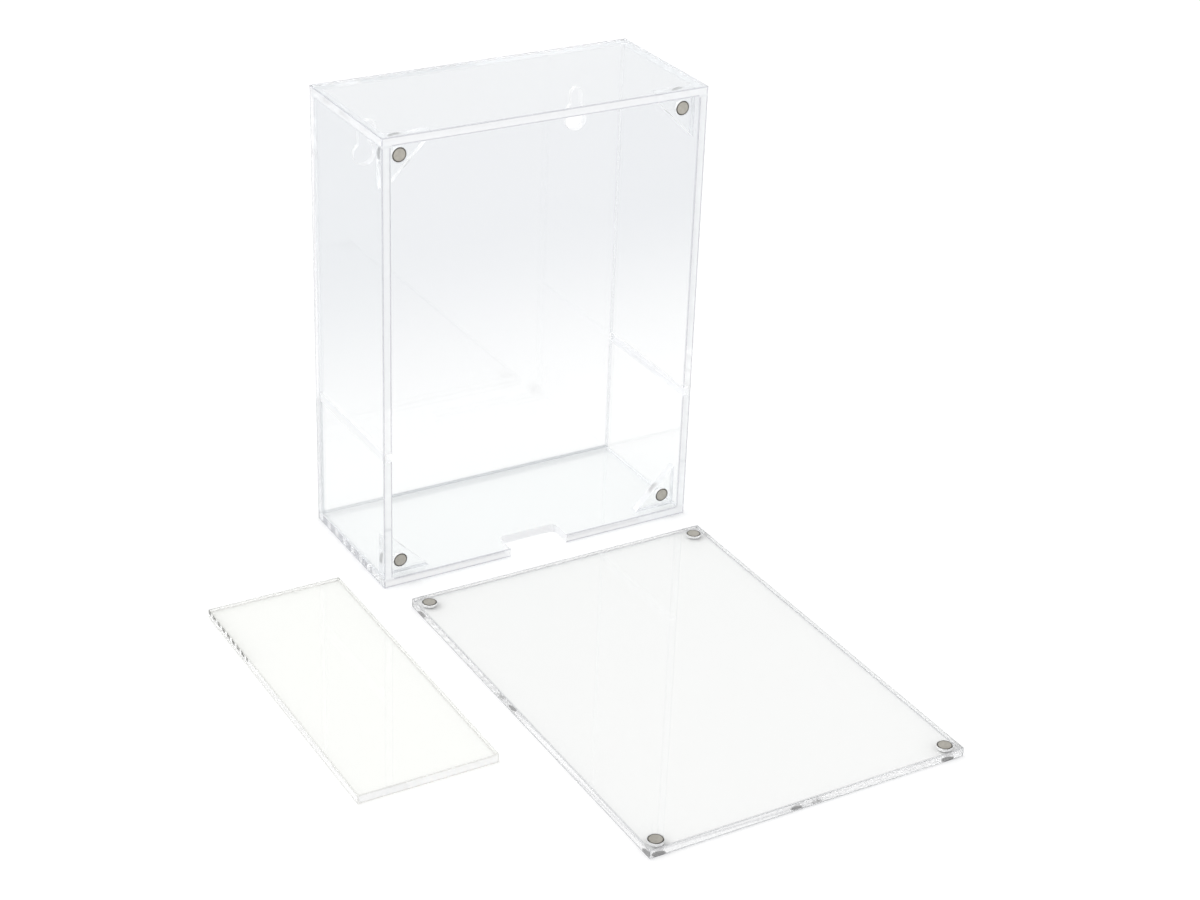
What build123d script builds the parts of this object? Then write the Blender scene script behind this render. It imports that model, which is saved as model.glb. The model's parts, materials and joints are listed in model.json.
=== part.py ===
from build123d import *
import os

# Clear acrylic card deck box with a magnetic front cover and a removable shelf.
#
# The box stands upright and is open at the front. The cover and the shelf are loose: they lie on
# the table, the cover in front of the box and the shelf to its front left.
# Frame: X to the right, Y towards the back, Z up, origin at the centre of the base plate's
# underside. Millimetres.

# ---- driving dimensions ----
BOX_WIDTH = 118.0
BOX_DEPTH = 54.0
BOX_HEIGHT = 160.0
SHEET = 3.0                      # thickness of every acrylic sheet

NOTCH_WIDTH = 22.0               # finger notch in the front edge of the base plate
NOTCH_DEPTH = 9.0
NOTCH_CORNER = 2.0

GROOVE_BOTTOM = 47.4             # shelf grooves in the side walls, height above the table
GROOVE_HEIGHT = 3.2
GROOVE_DEPTH = 2.0

KEYHOLE_SPACING = 78.0           # two keyholes in the back panel, for hanging on a wall
KEYHOLE_DROP = 25.5              # from the top of the box to the centre of the round end
KEYHOLE_DIAMETER = 8.0
SLOT_WIDTH = 4.5
SLOT_DROP = 16.0                 # from the top of the box to the upper end of the slot

GUSSET_LEG = 15.0
MAGNET_DIAMETER = 5.0
MAGNET_LENGTH = 2.0
MAGNET_INSET = 7.5               # from the outer faces of the box to a magnet's axis

COVER_SIDE_GAP = 0.25            # gaps around the closed cover
COVER_BOTTOM_GAP = 0.2
COVER_TOP_GAP = 0.5
COVER_SEAT_GAP = 0.1             # between the closed cover and the gussets it closes against
COVER_DISTANCE = 14.5            # from the front of the box to the lying cover

SHELF_LENGTH = 115.4
SHELF_DEPTH = 46.5
SHELF_LEFT = -118.2              # left edge of the lying shelf
SHELF_BACK = -18.0               # back edge of the lying shelf

OVERCUT = 1.0                    # how far a cutting tool runs past the face that it cuts

# ---- sizes that follow ----
HALF_WIDTH = BOX_WIDTH / 2
INNER_HALF_WIDTH = HALF_WIDTH - SHEET
FRONT = -BOX_DEPTH / 2
BACK = BOX_DEPTH / 2
CEILING = BOX_HEIGHT - SHEET
GUSSET_FRONT = FRONT + SHEET + COVER_SEAT_GAP
MAGNET_X = HALF_WIDTH - MAGNET_INSET
COVER_FOOT = SHEET + COVER_BOTTOM_GAP      # height of the closed cover's lower edge
COVER_WIDTH = 2 * (INNER_HALF_WIDTH - COVER_SIDE_GAP)
COVER_HEIGHT = CEILING - COVER_TOP_GAP - COVER_FOOT
COVER_BACK = FRONT - COVER_DISTANCE        # lying cover: the edge that is its foot when closed

SIDES = {"left": -1, "right": 1}
MAGNET_LEVELS = {"bottom": MAGNET_INSET, "top": BOX_HEIGHT - MAGNET_INSET}


def block(x_range, y_range, z_range):
    """A box between two values on each axis, given in either order."""
    lows = [min(pair) for pair in (x_range, y_range, z_range)]
    sizes = [max(pair) - min(pair) for pair in (x_range, y_range, z_range)]
    return Pos(*lows) * Box(*sizes, align=(Align.MIN, Align.MIN, Align.MIN))


def disc(length):
    """A magnet's disc, standing on the XY plane."""
    return Cylinder(MAGNET_DIAMETER / 2, length, align=(Align.CENTER, Align.CENTER, Align.MIN))


def base_plate():
    """Floor of the box, with the finger notch that frees the cover."""
    plate = block((-HALF_WIDTH, HALF_WIDTH), (FRONT, BACK), (0, SHEET))
    notch = block(
        (-NOTCH_WIDTH / 2, NOTCH_WIDTH / 2),
        (FRONT - OVERCUT, FRONT + NOTCH_DEPTH),
        (-OVERCUT, SHEET + OVERCUT),
    )
    inner_edges = notch.edges().filter_by(Axis.Z).group_by(Axis.Y)[-1]
    return plate - fillet(inner_edges, NOTCH_CORNER)


def top_plate():
    """Roof of the box, over the walls."""
    return block((-HALF_WIDTH, HALF_WIDTH), (FRONT, BACK), (CEILING, BOX_HEIGHT))


def side_wall(side):
    """Left or right wall, with the groove that carries the shelf, open at the front."""
    inner_face = side * INNER_HALF_WIDTH
    wall = block((inner_face, side * HALF_WIDTH), (FRONT, BACK - SHEET), (SHEET, CEILING))
    groove = block(
        (inner_face - side * OVERCUT, inner_face + side * GROOVE_DEPTH),
        (FRONT - OVERCUT, BACK),
        (GROOVE_BOTTOM, GROOVE_BOTTOM + GROOVE_HEIGHT),
    )
    return wall - groove


def keyhole():
    """Cutter for one keyhole, centred on its round end, with the slot running up."""
    slot_height = KEYHOLE_DROP - SLOT_DROP - SLOT_WIDTH / 2
    profile = (
        Circle(KEYHOLE_DIAMETER / 2)
        + Pos(0, slot_height / 2) * Rectangle(SLOT_WIDTH, slot_height)
        + Pos(0, slot_height) * Circle(SLOT_WIDTH / 2)
    )
    cutter = extrude(profile, SHEET + 2 * OVERCUT)
    return Pos(0, BACK + OVERCUT, BOX_HEIGHT - KEYHOLE_DROP) * Rot(90, 0, 0) * cutter


def back_panel():
    """Back of the box, which covers the walls' rear edges, with two keyholes."""
    panel = block((-HALF_WIDTH, HALF_WIDTH), (BACK - SHEET, BACK), (SHEET, CEILING))
    for side in SIDES.values():
        panel -= Pos(side * KEYHOLE_SPACING / 2, 0, 0) * keyhole()
    return panel


def box_magnet(side, level):
    """Magnet of a gusset, flush with the gusset's front."""
    place = Pos(side * MAGNET_X, GUSSET_FRONT, MAGNET_LEVELS[level])
    return place * Rot(-90, 0, 0) * disc(MAGNET_LENGTH)


def gusset(side, level):
    """Triangular corner plate behind the cover, with a blind hole for its magnet."""
    corner_x = side * INNER_HALF_WIDTH
    corner_z, inwards = {"bottom": (SHEET, 1), "top": (CEILING, -1)}[level]
    outline = Polyline(
        (corner_x, GUSSET_FRONT, corner_z),
        (corner_x - side * GUSSET_LEG, GUSSET_FRONT, corner_z),
        (corner_x, GUSSET_FRONT, corner_z + inwards * GUSSET_LEG),
        close=True,
    )
    plate = extrude(make_face(outline), SHEET, dir=(0, 1, 0))
    return plate - box_magnet(side, level)


def cover_magnet(side, level):
    """Magnet of the lying cover, flush with its upper face, which closes inwards."""
    along = COVER_BACK - (MAGNET_LEVELS[level] - COVER_FOOT)
    return Pos(side * MAGNET_X, along, SHEET - MAGNET_LENGTH) * disc(MAGNET_LENGTH)


def front_cover():
    """Cover, lying on its outer face, with four blind holes for its magnets."""
    half_width = COVER_WIDTH / 2
    plate = block((-half_width, half_width), (COVER_BACK - COVER_HEIGHT, COVER_BACK), (0, SHEET))
    for side in SIDES.values():
        for level in MAGNET_LEVELS:
            plate -= cover_magnet(side, level)
    return plate


def shelf():
    """Plain shelf, lying on the table."""
    return block(
        (SHELF_LEFT, SHELF_LEFT + SHELF_DEPTH),
        (SHELF_BACK - SHELF_LENGTH, SHELF_BACK),
        (0, SHEET),
    )


def all_pieces():
    """Every piece of the object, by the name of its node."""
    pieces = {
        "base_plate": base_plate(),
        "top_plate": top_plate(),
        "back_panel": back_panel(),
        "front_cover": front_cover(),
        "shelf": shelf(),
    }
    for side_name, side in SIDES.items():
        pieces[f"{side_name}_wall"] = side_wall(side)
        for level in MAGNET_LEVELS:
            corner = f"{level}_{side_name}"
            pieces[f"gusset_{corner}"] = gusset(side, level)
            pieces[f"box_magnet_{corner}"] = box_magnet(side, level)
            pieces[f"cover_magnet_{corner}"] = cover_magnet(side, level)
    return pieces


os.makedirs("parts", exist_ok=True)
for node, piece in all_pieces().items():
    export_step(piece, f"parts/{node}.step")
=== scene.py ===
import json
import math

import bmesh
import bpy
from mathutils import Matrix, Vector


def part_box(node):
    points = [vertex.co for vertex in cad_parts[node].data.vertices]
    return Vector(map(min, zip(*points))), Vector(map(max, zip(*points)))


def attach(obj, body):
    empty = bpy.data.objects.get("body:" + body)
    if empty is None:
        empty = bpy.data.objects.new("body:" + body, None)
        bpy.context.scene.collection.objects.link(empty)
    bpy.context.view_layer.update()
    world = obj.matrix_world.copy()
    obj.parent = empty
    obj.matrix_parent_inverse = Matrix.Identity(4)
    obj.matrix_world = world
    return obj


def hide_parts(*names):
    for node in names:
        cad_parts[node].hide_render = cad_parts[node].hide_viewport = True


# Looks of the clear acrylic card deck box: its sheets, cut edges, bonded joints and magnets, with
# the floor, light and camera. Metres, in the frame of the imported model.

MM = 0.001

# ---- clear acrylic: tints and clearness by the body that a sheet belongs to ----
IOR = 1.49
FACE_TINT = {"box": (0.985, 0.990, 0.990), "cover": (0.975, 0.977, 0.974), "shelf": (0.992, 0.994, 0.984)}
FACE_ROUGHNESS = (0.0, 0.015)         # lowest and highest, between which it wanders
HAZE_SCALE = 90.0                     # noise that the roughness follows
HAZE_DETAIL = 4.0

EDGE_TINT = (0.98, 0.98, 0.985)       # cut and polished edges
EDGE_ROUGHNESS = (0.01, 0.03)
EDGE_CLEARNESS = {"box": 0.60, "cover": 0.72, "shelf": 0.60}   # the rest of the light is scattered
# painted shade: dark outlines on the broken corners, standing in for the light bent at the rounded edges
RIM_SHADE = {"box": (0.67, 0.675, 0.71), "cover": (0.66, 0.665, 0.68), "shelf": (0.80, 0.80, 0.78)}
RIM_WIDTH = 0.42 * MM                 # broken corners between the faces and the edges
RIM_ROUGHNESS = 0.25

MILLED_TINT = (0.97, 0.97, 0.98)      # inside the grooves, holes and notch
MILLED_ROUGHNESS = 0.35
MILLED_CLEARNESS = 0.45

SEAM_TINT = (0.92, 0.925, 0.935)      # line of cement along a joint
SEAM_WIDTH = 0.45 * MM
JOINT_TINT = (0.97, 0.975, 0.98)      # a bonded joint, which light crosses with a slight loss
CEMENT = (0.93, 0.94, 0.95)           # the milky cement in it
CEMENT_SHARE = 0.35
CONTACT = 0.02 * MM                   # faces nearer to each other than this are bonded
DRY_JOINT = {"base_plate", "back_panel"}   # the joint that its cement hasn't filled
DRY_TINT = (0.79, 0.80, 0.81)

RIPPLE_SCALE = 18.0                   # faint ripple of a cast sheet
RIPPLE_HEIGHT = 0.015 * MM
CHATTER_PITCH = 1.6 * MM              # spacing of the cutter's marks along an edge
CHATTER_HEIGHT = 0.0005 * MM
CHATTER_PATCH_SCALE = 25.0            # noise that makes them come and go

# Dark dashes, of unknown cause, on the left edges of two pieces: how far they run forward from the edge's
# back end, how far down from its top, their pitch and their colour.
DARK_DASHES = {
    "shelf": (33 * MM, 1.4 * MM, 4.0 * MM, (0.14, 0.14, 0.13)),
    "base_plate": (44 * MM, 2.7 * MM, 6.5 * MM, (0.60, 0.60, 0.63)),
}
DASH_LEVEL = -0.3                 # level of the sine above which there is a mark

# ---- magnets ----
MAGNET_CLEARANCE = 0.03 * MM          # around a magnet in its hole
MAGNET_BEVEL = 0.30 * MM
MAGNET_FACE = 0.78                    # share of a magnet's radius inside its rim of painted shade
MAGNET_SIDES = 72
BEVEL_STEPS = 5
# attribute that holds the share of painted shade on the magnets' rims
RIM_SHADE_ATTRIBUTE = "shaded_rim"
NICKEL_DARK = (0.34, 0.325, 0.29)
NICKEL_LIGHT = (0.58, 0.555, 0.50)
# painted shade on the rounded rims, between the magnet and its hole
NICKEL_RIM_SHADE = (0.10, 0.095, 0.085)
NICKEL_ROUGHNESS = (0.22, 0.42)
MOTTLE_SCALE = 1100.0                 # noise between the dark and the light nickel
MOTTLE_DETAIL = 5.0
GRAIN_SCALE = 5200.0                  # noise of the satin finish
GRAIN_DETAIL = 3.0
GRAIN_HEIGHT = 0.01 * MM
GRAIN_STRENGTH = 0.4

# ---- floor and light ----
FLOOR_SIZE = 8.0                      # metres along each side
FLOOR_DROP = 0.2 * MM                 # keeps the floor clear of the pieces' undersides
FLOOR_WHITE = (0.93, 0.93, 0.93)      # floor as seen directly
FLOOR_SHADED_NEAR = (0.89, 0.89, 0.89)       # painted shade: floor as seen through the sheets is greyer, up to the start of the fade
FLOOR_SHADED_FAR = (0.740, 0.750, 0.770)     # and darker still beyond the fade's end, painted shade for light falling off far behind the box
SHADE_FADE_START = 45 * MM
SHADE_FADE_END = 240 * MM
SKY_LOW = 1.10                        # brightness of the surroundings at the horizon
SKY_HIGH = 0.74                       # and overhead
SUN_STRENGTH = 1.10
SUN_ANGLE = math.radians(42)
SUN_HEIGHT = math.radians(62)
SUN_BEARING = math.radians(140)       # anticlockwise from +X, so behind the box and to its left

# ---- camera ----
CAMERA_PLACE = (-357.31 * MM, -659.78 * MM, 421.26 * MM)
CAMERA_TILT = math.radians(62.209)
CAMERA_ROLL = math.radians(-4.408)
CAMERA_TURN = math.radians(-26.041)
CAMERA_LENS = 72.502
SENSOR_WIDTH = 36.0

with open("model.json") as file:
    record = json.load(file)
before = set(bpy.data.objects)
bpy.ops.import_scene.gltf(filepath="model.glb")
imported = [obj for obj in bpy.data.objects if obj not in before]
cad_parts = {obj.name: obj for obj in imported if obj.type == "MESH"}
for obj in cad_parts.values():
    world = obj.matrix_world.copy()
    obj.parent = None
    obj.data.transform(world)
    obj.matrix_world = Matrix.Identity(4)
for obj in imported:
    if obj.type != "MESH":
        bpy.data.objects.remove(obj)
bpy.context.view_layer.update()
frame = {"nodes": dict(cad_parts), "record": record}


def add_node(tree, kind, inputs=None, **settings):
    """Add a shader node. An input is given a value, or a socket to link."""
    made = tree.nodes.new("ShaderNode" + kind)
    for name, value in settings.items():
        setattr(made, name, value)
    for key, value in (inputs or {}).items():
        if isinstance(value, bpy.types.NodeSocket):
            tree.links.new(value, made.inputs[key])
        else:
            made.inputs[key].default_value = value
    return made


def math_node(tree, operation, first, second=0.0):
    """The result of a Math node on two numbers or sockets."""
    return add_node(tree, "Math", {0: first, 1: second}, operation=operation).outputs[0]


def vector_math(tree, operation, first, second=(0, 0, 0)):
    """The result of a Vector Math node on two vectors or sockets."""
    return add_node(tree, "VectorMath", {0: first, 1: second}, operation=operation).outputs["Vector"]


def new_material(name):
    """An empty material and its node tree, with only the output."""
    material = bpy.data.materials.new(name)
    material.use_nodes = True
    tree = material.node_tree
    tree.nodes.clear()
    return material, tree, add_node(tree, "OutputMaterial")


def inside_box(tree, point, low, high):
    """1 where the point lies in the box, otherwise 0."""
    centre = (low + high) / 2
    half = (high - low) / 2
    offset = vector_math(tree, "SUBTRACT", point, tuple(centre))
    outside = vector_math(tree, "SUBTRACT", vector_math(tree, "ABSOLUTE", offset), tuple(half))
    x, y, z = add_node(tree, "SeparateXYZ", {0: outside}).outputs
    furthest = math_node(tree, "MAXIMUM", math_node(tree, "MAXIMUM", x, y), z)
    return math_node(tree, "LESS_THAN", furthest, 0.0)


def depths_in_box(tree, point, low, high):
    """How deep the point lies in the box: the least and the middle of its depths on the three axes."""
    offset = vector_math(tree, "SUBTRACT", point, tuple((low + high) / 2))
    depth = vector_math(tree, "SUBTRACT", tuple((high - low) / 2), vector_math(tree, "ABSOLUTE", offset))
    x, y, z = add_node(tree, "SeparateXYZ", {0: depth}).outputs
    lower = math_node(tree, "MINIMUM", x, y)
    upper = math_node(tree, "MAXIMUM", x, y)
    least = math_node(tree, "MINIMUM", lower, z)
    middle = math_node(tree, "MAXIMUM", lower, math_node(tree, "MINIMUM", upper, z))
    return least, middle


def node_box(name):
    """A node's lowest and highest corner, as vectors."""
    low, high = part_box(name)
    return Vector(low), Vector(high)


def thin_axis(name):
    """The axis across a sheet: 0, 1 or 2."""
    low, high = node_box(name)
    size = high - low
    return min(range(3), key=lambda axis: size[axis])


def is_magnet(name):
    return "magnet" in name


def bonded_neighbours(name, body_nodes):
    """The boxes, by name, of the clear pieces of the same body that touch this one."""
    low, high = node_box(name)
    found = {}
    for other in body_nodes:
        if other == name or is_magnet(other):
            continue
        other_low, other_high = node_box(other)
        if all(low[k] <= other_high[k] + CONTACT and other_low[k] <= high[k] + CONTACT for k in range(3)):
            found[other] = (other_low, other_high)
    return found


def near_any(tree, point, boxes, distance):
    """1 where the point lies within the distance of one of the boxes, otherwise 0."""
    grow = Vector((distance, distance, distance))
    near = None
    for low, high in boxes:
        here = inside_box(tree, point, low - grow, high + grow)
        near = here if near is None else math_node(tree, "MAXIMUM", near, here)
    return near


def edge_share(tree, coordinates, axis):
    """1 on a sheet's cut edges and holes, 0 on its two faces."""
    parts = add_node(tree, "SeparateXYZ", {0: coordinates.outputs["Normal"]})
    across = math_node(tree, "ABSOLUTE", parts.outputs[axis])
    return math_node(tree, "LESS_THAN", across, 0.5)


def colour_value(colour):
    """A colour as a node's input takes it: a socket as it is, or three numbers with an alpha of 1."""
    return colour if isinstance(colour, bpy.types.NodeSocket) else (*colour, 1)


def blend_colours(tree, share, first, second):
    """A mix of two colours, each a tuple of three numbers or a socket."""
    inputs = {0: share, 6: colour_value(first), 7: colour_value(second)}
    return add_node(tree, "Mix", inputs, data_type="RGBA").outputs[2]


def blend_numbers(tree, share, first, second):
    """A mix of two numbers or sockets."""
    return add_node(tree, "Mix", {0: share, 2: first, 3: second}).outputs[0]


def noise(tree, point, scale, detail):
    """Noise between 0 and 1."""
    return add_node(tree, "TexNoise", {"Vector": point, "Scale": scale, "Detail": detail}).outputs[0]


def acrylic_bump(tree, point, edge):
    """Normal of a sheet: a faint ripple all over, and patches of the cutter's marks on its edges."""
    ripple = math_node(tree, "MULTIPLY", noise(tree, point, RIPPLE_SCALE, 1.0), RIPPLE_HEIGHT)
    along = add_node(tree, "VectorMath", {0: point, 1: (1, 1, 1)}, operation="DOT_PRODUCT").outputs["Value"]
    marks = math_node(tree, "SINE", math_node(tree, "MULTIPLY", along, 2 * math.pi / CHATTER_PITCH))
    patches = math_node(tree, "MULTIPLY", noise(tree, point, CHATTER_PATCH_SCALE, 1.0), edge)
    marks = math_node(tree, "MULTIPLY", math_node(tree, "MULTIPLY", marks, patches), CHATTER_HEIGHT)
    height = math_node(tree, "ADD", ripple, marks)
    return add_node(tree, "Bump", {"Height": height, "Strength": 1.0, "Distance": 1.0}).outputs[0]


def light_rays(tree):
    """1 for the rays that light the pieces, 0 for those that show them."""
    path = add_node(tree, "LightPath").outputs
    return math_node(tree, "MAXIMUM", path["Is Shadow Ray"], path["Is Diffuse Ray"])


def joint_tints(tree, point, name, joints):
    """Colours of the cement's line along the joints, and of the joints themselves."""
    dry_joints = [box for other, box in joints.items() if {name, other} == DRY_JOINT]
    if not dry_joints:
        return SEAM_TINT, JOINT_TINT
    dry = near_any(tree, point, dry_joints, SEAM_WIDTH)
    return blend_colours(tree, dry, SEAM_TINT, DRY_TINT), blend_colours(tree, dry, JOINT_TINT, DRY_TINT)


def cemented(tree, sheet, bonded, joint_tint):
    """The sheet's shader with its joints: clear where it is bonded, but for the milky cement."""
    through = add_node(tree, "BsdfTransparent", {"Color": colour_value(joint_tint)}).outputs[0]
    cement = add_node(tree, "BsdfDiffuse", {"Color": colour_value(CEMENT)}).outputs[0]
    showing = math_node(tree, "SUBTRACT", 1.0, light_rays(tree))
    share = math_node(tree, "MULTIPLY", showing, CEMENT_SHARE)
    joint = add_node(tree, "MixShader", {0: share, 1: through, 2: cement}).outputs[0]
    return add_node(tree, "MixShader", {0: bonded, 1: sheet, 2: joint}).outputs[0]


def dark_dashes(tree, point, name):
    """1 on the dark dashes along part of a piece's left edge, otherwise 0, and their colour."""
    length, height, pitch, colour = DARK_DASHES[name]
    low, high = node_box(name)
    margin = Vector((CONTACT, CONTACT, CONTACT))
    start = Vector((low.x, high.y - length, high.z - height)) - margin
    end = Vector((low.x, high.y, high.z)) + margin
    along = add_node(tree, "SeparateXYZ", {0: point}).outputs[1]
    wave = math_node(tree, "SINE", math_node(tree, "MULTIPLY", along, 2 * math.pi / pitch))
    stripes = math_node(tree, "GREATER_THAN", wave, DASH_LEVEL)
    return math_node(tree, "MULTIPLY", stripes, inside_box(tree, point, start, end)), colour


def sheet_roughness(tree, point, edge, rim, milled):
    """Roughness of a sheet, which wanders on its faces and edges."""
    haze = noise(tree, point, HAZE_SCALE, HAZE_DETAIL)
    on_face = blend_numbers(tree, haze, *FACE_ROUGHNESS)
    on_edge = blend_numbers(tree, haze, *EDGE_ROUGHNESS)
    roughness = blend_numbers(tree, edge, on_face, on_edge)
    roughness = blend_numbers(tree, rim, roughness, RIM_ROUGHNESS)
    return blend_numbers(tree, milled, roughness, MILLED_ROUGHNESS)


def sheet_clearness(tree, body, edge, milled):
    """How much of the light passes into a sheet: all on its faces, less where it was cut."""
    clearness = blend_numbers(tree, edge, 1.0, EDGE_CLEARNESS[body])
    return blend_numbers(tree, milled, clearness, MILLED_CLEARNESS)


def acrylic(name, body, body_nodes):
    """Clear acrylic for one sheet: glassy faces, duller cut edges, and joints that light crosses."""
    material, tree, output = new_material(f"acrylic_{name}")
    coordinates = add_node(tree, "TexCoord")
    point = coordinates.outputs["Object"]
    edge = edge_share(tree, coordinates, thin_axis(name))
    least, middle = depths_in_box(tree, point, *node_box(name))
    milled = math_node(tree, "GREATER_THAN", least, CONTACT)
    rim = math_node(tree, "LESS_THAN", middle, RIM_WIDTH)
    joints = bonded_neighbours(name, body_nodes)

    tint = blend_colours(tree, edge, FACE_TINT[body], EDGE_TINT)
    # painted shade: a dark outline along the broken corners
    tint = blend_colours(tree, rim, tint, RIM_SHADE[body])
    tint = blend_colours(tree, milled, tint, MILLED_TINT)
    if joints:
        seam = near_any(tree, point, joints.values(), SEAM_WIDTH)
        seam_tint, joint_tint = joint_tints(tree, point, name, joints)
        tint = blend_colours(tree, seam, tint, seam_tint)
    # dark dashes of unknown cause along the left edge
    if name in DARK_DASHES:
        marks, dash_tint = dark_dashes(tree, point, name)
        tint = blend_colours(tree, marks, tint, dash_tint)

    glass = add_node(
        tree,
        "BsdfPrincipled",
        {
            "Base Color": tint,
            "Roughness": sheet_roughness(tree, point, edge, rim, milled),
            "IOR": IOR,
            "Transmission Weight": sheet_clearness(tree, body, edge, milled),
            "Normal": acrylic_bump(tree, point, edge),
        },
    )
    lit_through = add_node(tree, "BsdfTransparent", {"Color": tint})
    shaders = {0: light_rays(tree), 1: glass.outputs[0], 2: lit_through.outputs[0]}
    sheet = add_node(tree, "MixShader", shaders).outputs[0]
    if joints:
        bonded = near_any(tree, point, joints.values(), CONTACT)
        sheet = cemented(tree, sheet, bonded, joint_tint)
    tree.links.new(sheet, output.inputs["Surface"])
    return material


def nickel():
    """Nickel plating: satin, mottled, and darkened with painted shade along the rounded rims."""
    material, tree, output = new_material("nickel_plating")
    point = add_node(tree, "TexCoord").outputs["Object"]
    rim_shade = add_node(tree, "Attribute", attribute_name=RIM_SHADE_ATTRIBUTE).outputs["Fac"]
    mottle = noise(tree, point, MOTTLE_SCALE, MOTTLE_DETAIL)
    colour = blend_colours(tree, mottle, NICKEL_DARK, NICKEL_LIGHT)
    # painted shade, darkest on the rounded rims
    colour = blend_colours(tree, rim_shade, colour, NICKEL_RIM_SHADE)
    grain = noise(tree, point, GRAIN_SCALE, GRAIN_DETAIL)
    roughness = blend_numbers(tree, grain, *NICKEL_ROUGHNESS)
    bump = add_node(tree, "Bump", {"Height": grain, "Strength": GRAIN_STRENGTH, "Distance": GRAIN_HEIGHT})
    metal = add_node(
        tree,
        "BsdfPrincipled",
        {"Base Color": colour, "Metallic": 1.0, "Roughness": roughness, "Normal": bump.outputs[0]},
    )
    tree.links.new(metal.outputs[0], output.inputs["Surface"])
    return material


def magnet_profile(radius, length):
    """Half section of a magnet, end to end: distance from its axis, distance along it, and share of painted
    shade.
    """
    near_end = [(0.0, 0.0, 0.0), (radius * MAGNET_FACE, 0.0, 0.0)]
    for step in range(BEVEL_STEPS + 1):
        angle = math.pi / 2 * step / BEVEL_STEPS
        out = radius - MAGNET_BEVEL + MAGNET_BEVEL * math.sin(angle)
        near_end.append((out, MAGNET_BEVEL * (1 - math.cos(angle)), 1.0))
    waist = (radius, length / 2, 0.0)
    far_end = [(out, length - along, shade_share) for out, along, shade_share in reversed(near_end)]
    return near_end + [waist] + far_end


def magnet_mesh(name, axis, low, high):
    """Disc with rounded rims that fills the magnet's box along the given axis."""
    size = high - low
    radius = max(size) / 2 - MAGNET_CLEARANCE
    start = (low + high) / 2
    start[axis] = low[axis]
    across = [k for k in range(3) if k != axis]
    shape = bmesh.new()
    shade_layer = shape.verts.layers.float.new(RIM_SHADE_ATTRIBUTE)
    rings = []
    for out, along, shade_share in magnet_profile(radius, size[axis]):
        ring = []
        for side in range(MAGNET_SIDES if out > 0 else 1):
            angle = 2 * math.pi * side / MAGNET_SIDES
            place = start.copy()
            place[axis] += along
            place[across[0]] += out * math.cos(angle)
            place[across[1]] += out * math.sin(angle)
            vertex = shape.verts.new(place)
            vertex[shade_layer] = shade_share
            ring.append(vertex)
        rings.append(ring)
    for first, second in zip(rings, rings[1:]):
        for side in range(MAGNET_SIDES):
            after = (side + 1) % MAGNET_SIDES
            corners = []
            for ring, index in ((first, side), (first, after), (second, after), (second, side)):
                vertex = ring[index % len(ring)]
                if vertex not in corners:
                    corners.append(vertex)
            shape.faces.new(corners)
    bmesh.ops.recalc_face_normals(shape, faces=shape.faces)
    mesh = bpy.data.meshes.new(name)
    shape.to_mesh(mesh)
    shape.free()
    mesh.shade_smooth()
    return mesh


def add_magnet(name, body, material):
    """A magnet with rounded rims in place of the plain disc."""
    low, high = node_box(name)
    mesh = magnet_mesh(f"plated_{name}", thin_axis(name), low, high)
    mesh.materials.append(material)
    piece = bpy.data.objects.new(f"plated_{name}", mesh)
    bpy.context.scene.collection.objects.link(piece)
    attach(piece, body)
    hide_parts(name)


def dress_pieces():
    """Give every piece its material: acrylic on the sheets, plated magnets in their holes."""
    plating = nickel()
    for body, body_nodes in frame["record"]["behaviour"]["bodies"].items():
        for name in body_nodes:
            if is_magnet(name):
                add_magnet(name, body, plating)
                continue
            mesh = frame["nodes"][name].data
            mesh.materials.clear()
            mesh.materials.append(acrylic(name, body, body_nodes))


def add_floor():
    """Plain pale floor, with painted shade that makes it greyer through the sheets, most of all far behind
    the box.
    """
    material, tree, output = new_material("pale_floor")
    place = add_node(tree, "TexCoord").outputs["Object"]
    depth = add_node(tree, "SeparateXYZ", {0: place}).outputs[1]
    shade_fade = add_node(
        tree,
        "MapRange",
        {"Value": depth, "From Min": SHADE_FADE_START, "From Max": SHADE_FADE_END},
        interpolation_type="SMOOTHSTEP",
    ).outputs[0]
    # painted shade: greyer through the sheets, darker far behind the box
    shade = blend_colours(tree, shade_fade, FLOOR_SHADED_NEAR, FLOOR_SHADED_FAR)
    seen_directly = add_node(tree, "LightPath").outputs["Is Camera Ray"]
    colour = blend_colours(tree, seen_directly, shade, FLOOR_WHITE)
    matt = add_node(tree, "BsdfDiffuse", {"Color": colour})
    tree.links.new(matt.outputs[0], output.inputs["Surface"])
    half = FLOOR_SIZE / 2
    mesh = bpy.data.meshes.new("floor")
    corners = [(x, y, -FLOOR_DROP) for x, y in ((-half, -half), (half, -half), (half, half), (-half, half))]
    mesh.from_pydata(corners, [], [(0, 1, 2, 3)])
    mesh.materials.append(material)
    floor = bpy.data.objects.new("floor", mesh)
    bpy.context.scene.collection.objects.link(floor)


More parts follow.
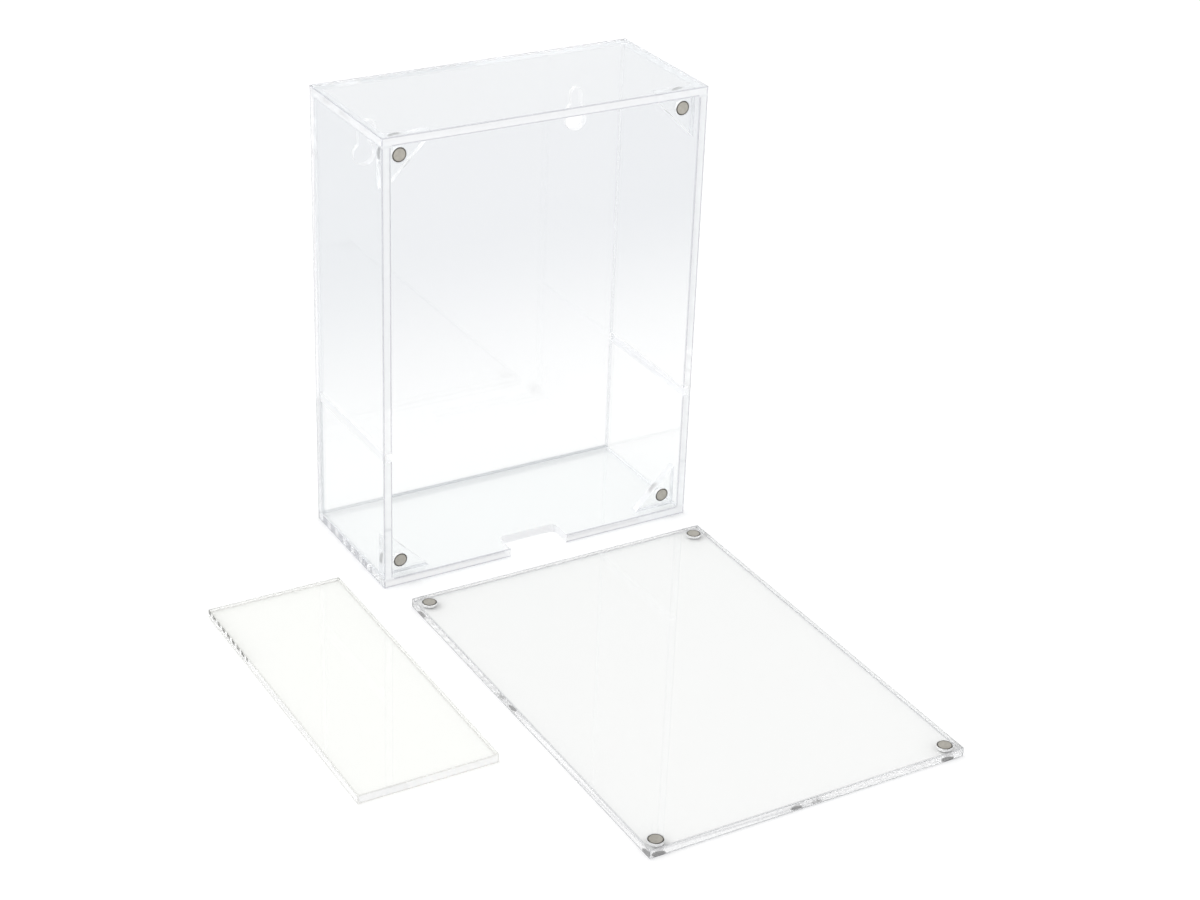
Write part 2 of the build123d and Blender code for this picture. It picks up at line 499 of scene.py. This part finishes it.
def add_surroundings():
    """Plain pale surroundings, brightest at the horizon."""
    world = bpy.data.worlds.new("studio")
    bpy.context.scene.world = world
    world.use_nodes = True
    tree = world.node_tree
    tree.nodes.clear()
    direction = add_node(tree, "TexCoord").outputs["Generated"]
    height = add_node(tree, "SeparateXYZ", {0: direction}).outputs[2]
    strength = add_node(
        tree,
        "MapRange",
        {"Value": height, "From Min": 0.0, "From Max": 1.0, "To Min": SKY_LOW, "To Max": SKY_HIGH},
    ).outputs[0]
    sky = add_node(tree, "Background", {"Color": (1, 1, 1, 1), "Strength": strength})
    output = add_node(tree, "OutputWorld")
    tree.links.new(sky.outputs[0], output.inputs["Surface"])


def add_sun():
    """Large soft light from behind, to the left."""
    lamp = bpy.data.lights.new("soft_light", "SUN")
    lamp.energy = SUN_STRENGTH
    lamp.angle = SUN_ANGLE
    towards = Vector((
        math.cos(SUN_HEIGHT) * math.cos(SUN_BEARING),
        math.cos(SUN_HEIGHT) * math.sin(SUN_BEARING),
        math.sin(SUN_HEIGHT),
    ))
    light = bpy.data.objects.new("soft_light", lamp)
    light.matrix_world = towards.to_track_quat("Z", "Y").to_matrix().to_4x4()
    bpy.context.scene.collection.objects.link(light)


def add_camera():
    """Camera to the box's front left, looking down on it."""
    lens = bpy.data.cameras.new("camera")
    lens.sensor_width = SENSOR_WIDTH
    lens.lens = CAMERA_LENS
    lens.clip_start = 0.01
    camera = bpy.data.objects.new("camera", lens)
    turn = (
        Matrix.Rotation(CAMERA_TURN, 4, "Z")
        @ Matrix.Rotation(CAMERA_TILT, 4, "X")
        @ Matrix.Rotation(CAMERA_ROLL, 4, "Y")
    )
    camera.matrix_world = Matrix.Translation(CAMERA_PLACE) @ turn
    bpy.context.scene.collection.objects.link(camera)
    bpy.context.scene.camera = camera


def set_light_paths():
    """Enough bounces for light that crosses many sheets, and plain colours."""
    scene = bpy.context.scene
    scene.view_settings.view_transform = "Standard"
    cycles = scene.cycles
    cycles.max_bounces = 90
    cycles.transmission_bounces = 40
    cycles.glossy_bounces = 80
    cycles.transparent_max_bounces = 80
    cycles.caustics_reflective = False
    cycles.caustics_refractive = False


dress_pieces()
add_floor()
add_surroundings()
add_sun()
add_camera()
set_light_paths()
